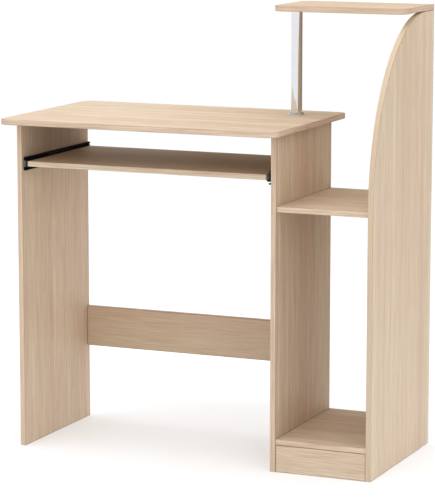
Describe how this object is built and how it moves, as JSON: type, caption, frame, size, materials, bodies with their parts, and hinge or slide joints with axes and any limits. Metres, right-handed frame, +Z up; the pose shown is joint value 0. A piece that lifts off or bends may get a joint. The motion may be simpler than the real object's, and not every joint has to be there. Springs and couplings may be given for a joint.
{
  "type": "computer desk",
  "caption": "Flat-pack computer desk in pale oak board with a pull-out keyboard tray, side tower with shelves, curved tall panel and chrome post under a raised shelf.",
  "frame": {"origin": "on the floor, at the middle of the overall width and depth", "axes": "+Z up, +Y towards the back of the desk, +X to the sitter's right, where the tower is"},
  "size_m": [0.865, 0.44, 1],
  "materials": {
    "oak_melamine": "satin melamine with fine straight oak grain",
    "chrome_plate": "bright chrome plate",
    "black_steel": "black electrophoretic coat, slightly glossy",
    "zinc_steel": "bright zinc plate",
    "bright_steel": "ground and polished, greased",
    "cast_zinc": "dull die-cast zinc",
    "beech_dowel": "raw beech",
    "black_plastic": "moulded, matt"
  },
  "bodies": {
    "root": {"desktop": "oak_melamine", "top_shelf": "oak_melamine", "left_side_panel": "oak_melamine", "middle_side_panel": "oak_melamine", "tall_side_panel": "oak_melamine", "back_stretcher": "oak_melamine", "middle_shelf": "oak_melamine", "base_shelf": "oak_melamine", "plinth_board": "oak_melamine", "post_tube": "chrome_plate", "post_lower_flange": "chrome_plate", "post_upper_flange": "chrome_plate", "post_end_plugs": "black_plastic", "post_washer": "zinc_steel", "post_bolt": "zinc_steel", "post_hanger_stud": "zinc_steel", "cam_bolts": "zinc_steel", "slide_panel_screws": "zinc_steel", "cam_locks": "cast_zinc", "wooden_dowels": "beech_dowel", "left_slide_outer_member": "black_steel", "left_slide_stop": "black_plastic", "right_slide_outer_member": "black_steel", "right_slide_stop": "black_plastic"},
    "tray": {"keyboard_tray": "oak_melamine", "slide_tray_screws": "zinc_steel", "left_slide_inner_member": "black_steel", "right_slide_inner_member": "black_steel"},
    "left_cage": {"left_ball_cage": "zinc_steel", "left_slide_balls": "bright_steel"},
    "right_cage": {"right_ball_cage": "zinc_steel", "right_slide_balls": "bright_steel"}
  },
  "joints": [
    {"name": "tray_slide", "type": "slide", "parent": "root", "child": "tray", "axis": [0, -1, 0], "range_m": [0, 0.22]},
    {"name": "left_cage_roll", "type": "slide", "parent": "root", "child": "left_cage", "axis": [0, -1, 0], "range_m": [0, 0.11]},
    {"name": "right_cage_roll", "type": "slide", "parent": "root", "child": "right_cage", "axis": [0, -1, 0], "range_m": [0, 0.11]}
  ],
  "couplings": [
    {"joint": "left_cage_roll", "follows": "tray_slide", "ratio": 0.5},
    {"joint": "right_cage_roll", "follows": "tray_slide", "ratio": 0.5}
  ]
}
